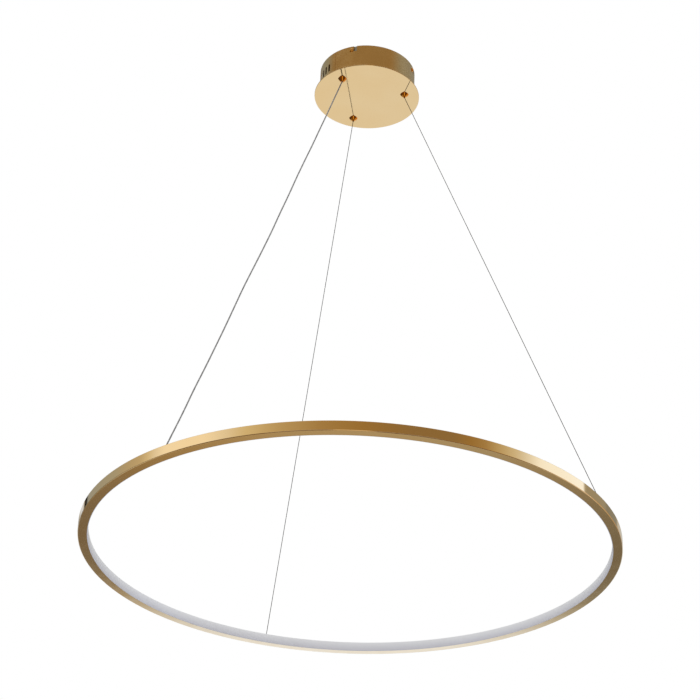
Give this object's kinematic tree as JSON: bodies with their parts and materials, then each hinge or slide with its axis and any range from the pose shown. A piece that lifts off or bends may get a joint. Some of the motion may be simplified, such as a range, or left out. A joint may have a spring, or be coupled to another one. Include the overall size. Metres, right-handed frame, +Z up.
{
  "type": "ring chandelier",
  "caption": "Ring chandelier: a slim gold channel ring with a milky inward-facing diffuser, hung on thin slanting lines from a flat round ceiling canopy.",
  "frame": {"origin": "on the ceiling plane, at the centre of the ceiling bracket's screw pattern", "axes": "+Z up out of the ceiling plane along the ring's axis; +Y points away from the viewer of the picture, +X to the viewer's right"},
  "size_m": [1, 0.9998, 1.107],
  "materials": {
    "gold": "satin gold lacquer on extruded aluminium",
    "canopy_gold": "polished gold lacquer on steel",
    "gripper_gold": "polished",
    "screw_gold": "polished",
    "plunger_brass": "bright",
    "diffuser": "milky, translucent",
    "strip": "white solder mask over copper",
    "led": "phosphor in a white case",
    "aluminium": "mill finish",
    "steel": "zinc plated",
    "brass": "plain",
    "wire": "stranded stainless wire",
    "bush": "lacquered",
    "cable": "clear jacket over tinned cores",
    "white_plastic": "moulded",
    "lead_red": "PVC insulation",
    "lead_brown": "PVC insulation",
    "grip_nylon": "nylon",
    "cord_screw": "turned",
    "board": "glass-fibre laminate",
    "ferrite": "ferrite with taped winding",
    "capacitor": "sleeved can"
  },
  "bodies": {
    "canopy": {"canopy_face": "canopy_gold", "canopy_drum": "canopy_gold", "ceiling_bracket": "steel", "side_screws": "screw_gold", "face_studs": "steel", "face_stud_nuts": "steel", "earth_tag": "brass", "gripper_body_a": "gripper_gold", "gripper_body_b": "gripper_gold", "gripper_spring_a": "steel", "gripper_spring_b": "steel", "gripper_caps": "steel", "gripper_washers": "steel", "gripper_nuts": "steel", "wire_canopy_ends": "wire", "cord_grip_body": "gripper_gold", "cord_grip_sleeve": "grip_nylon", "cord_grip_screw": "cord_screw", "cable_canopy_end": "cable", "driver_base": "white_plastic", "driver_cover": "white_plastic", "driver_board": "board", "driver_transformer": "ferrite", "driver_capacitors": "capacitor", "terminal_block": "white_plastic", "terminal_screws": "steel", "driver_leads": "lead_brown"},
    "ring": {"ring_profile_front": "gold", "ring_profile_back": "gold", "ring_diffuser": "diffuser", "light_strip": "strip", "led_packages": "led", "splice_plates": "aluminium", "splice_grub_screws": "steel", "wire_bush_a": "bush", "wire_bush_b": "bush", "cable_bush": "bush", "wire_ferrules": "aluminium", "wire_ring_ends": "wire", "cable_ring_end": "cable", "feed_connector": "white_plastic", "feed_leads": "lead_red"},
    "wire_a": {"suspension_wire_a": "wire"},
    "wire_b": {"suspension_wire_b": "wire"},
    "cable": {"supply_cable": "cable"},
    "plunger_a": {"gripper_plunger_a": "plunger_brass", "gripper_balls_a": "steel"},
    "plunger_b": {"gripper_plunger_b": "plunger_brass", "gripper_balls_b": "steel"}
  },
  "joints": [
    {"name": "ring_sway", "type": "hinge", "parent": "canopy", "child": "ring", "pos_m": [0, 0, 0.13259], "axis": [1, 0, 0], "range_deg": [-4, 4]},
    {"name": "wire_a_swing", "type": "hinge", "parent": "canopy", "child": "wire_a", "pos_m": [0.07878, -0.01389, -0.0666], "axis": [1, 0, 0], "range_deg": [-5, 5]},
    {"name": "wire_b_swing", "type": "hinge", "parent": "canopy", "child": "wire_b", "pos_m": [-0.02736, 0.07518, -0.0666], "axis": [1, 0, 0], "range_deg": [-5, 5]},
    {"name": "cable_swing", "type": "hinge", "parent": "canopy", "child": "cable", "pos_m": [-0.05142, -0.06128, -0.0666], "axis": [1, 0, 0], "range_deg": [-5, 5]},
    {"name": "gripper_release_a", "type": "slide", "parent": "canopy", "child": "plunger_a", "axis": [0, 0, 1], "range_m": [0, 0.0015], "stiffness_N_per_m": 800, "springref_m": -0.003, "deforming": ["gripper_spring_a"]},
    {"name": "gripper_release_b", "type": "slide", "parent": "canopy", "child": "plunger_b", "axis": [0, 0, 1], "range_m": [0, 0.0015], "stiffness_N_per_m": 800, "springref_m": -0.003, "deforming": ["gripper_spring_b"]}
  ],
  "couplings": [
    {"joint": "wire_a_swing", "follows": "ring_sway", "ratio": 1.1948},
    {"joint": "wire_b_swing", "follows": "ring_sway", "ratio": 1.1948},
    {"joint": "cable_swing", "follows": "ring_sway", "ratio": 1.1948}
  ]
}
